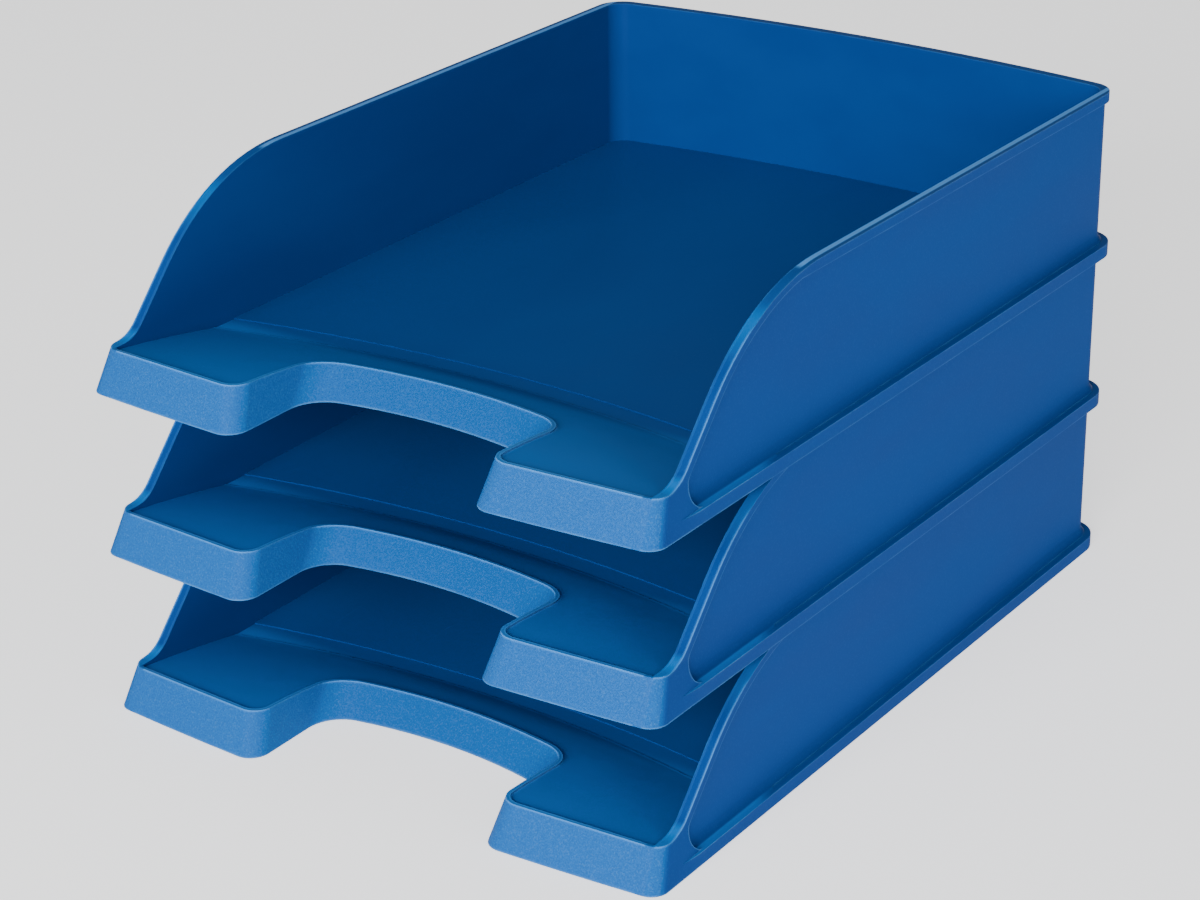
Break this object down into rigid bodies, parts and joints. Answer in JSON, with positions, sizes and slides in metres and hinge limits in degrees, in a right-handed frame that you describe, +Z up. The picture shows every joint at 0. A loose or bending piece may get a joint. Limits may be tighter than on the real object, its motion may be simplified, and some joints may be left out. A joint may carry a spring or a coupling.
{
  "type": "letter tray",
  "caption": "Stacked open-fronted A4 letter trays with sides that sweep down to a low sloped front with a finger notch; each lifts off the one below.",
  "frame": {"origin": "middle of the stack's footprint, on the surface it stands on", "axes": "+X to the right seen from the front, +Y to the closed back, +Z up"},
  "size_m": [0.255, 0.36, 0.204],
  "materials": {
    "bottom_plastic": "blue moulded polystyrene, satin inside and out, with a fine grain on the sloped front",
    "middle_plastic": "blue moulded polystyrene, satin inside and out, with a fine grain on the sloped front",
    "top_plastic": "blue moulded polystyrene, satin inside and out, with a fine grain on the sloped front"
  },
  "bodies": {
    "bottom_tray": {"tray_bottom": "bottom_plastic"},
    "middle_tray": {"tray_middle": "middle_plastic"},
    "top_tray": {"tray_top": "top_plastic"}
  },
  "joints": [
    {"name": "lift_middle", "type": "slide", "parent": "bottom_tray", "child": "middle_tray", "axis": [0, 0, 1], "range_m": [0, 0.08]},
    {"name": "lift_top", "type": "slide", "parent": "middle_tray", "child": "top_tray", "axis": [0, 0, 1], "range_m": [0, 0.08]}
  ]
}
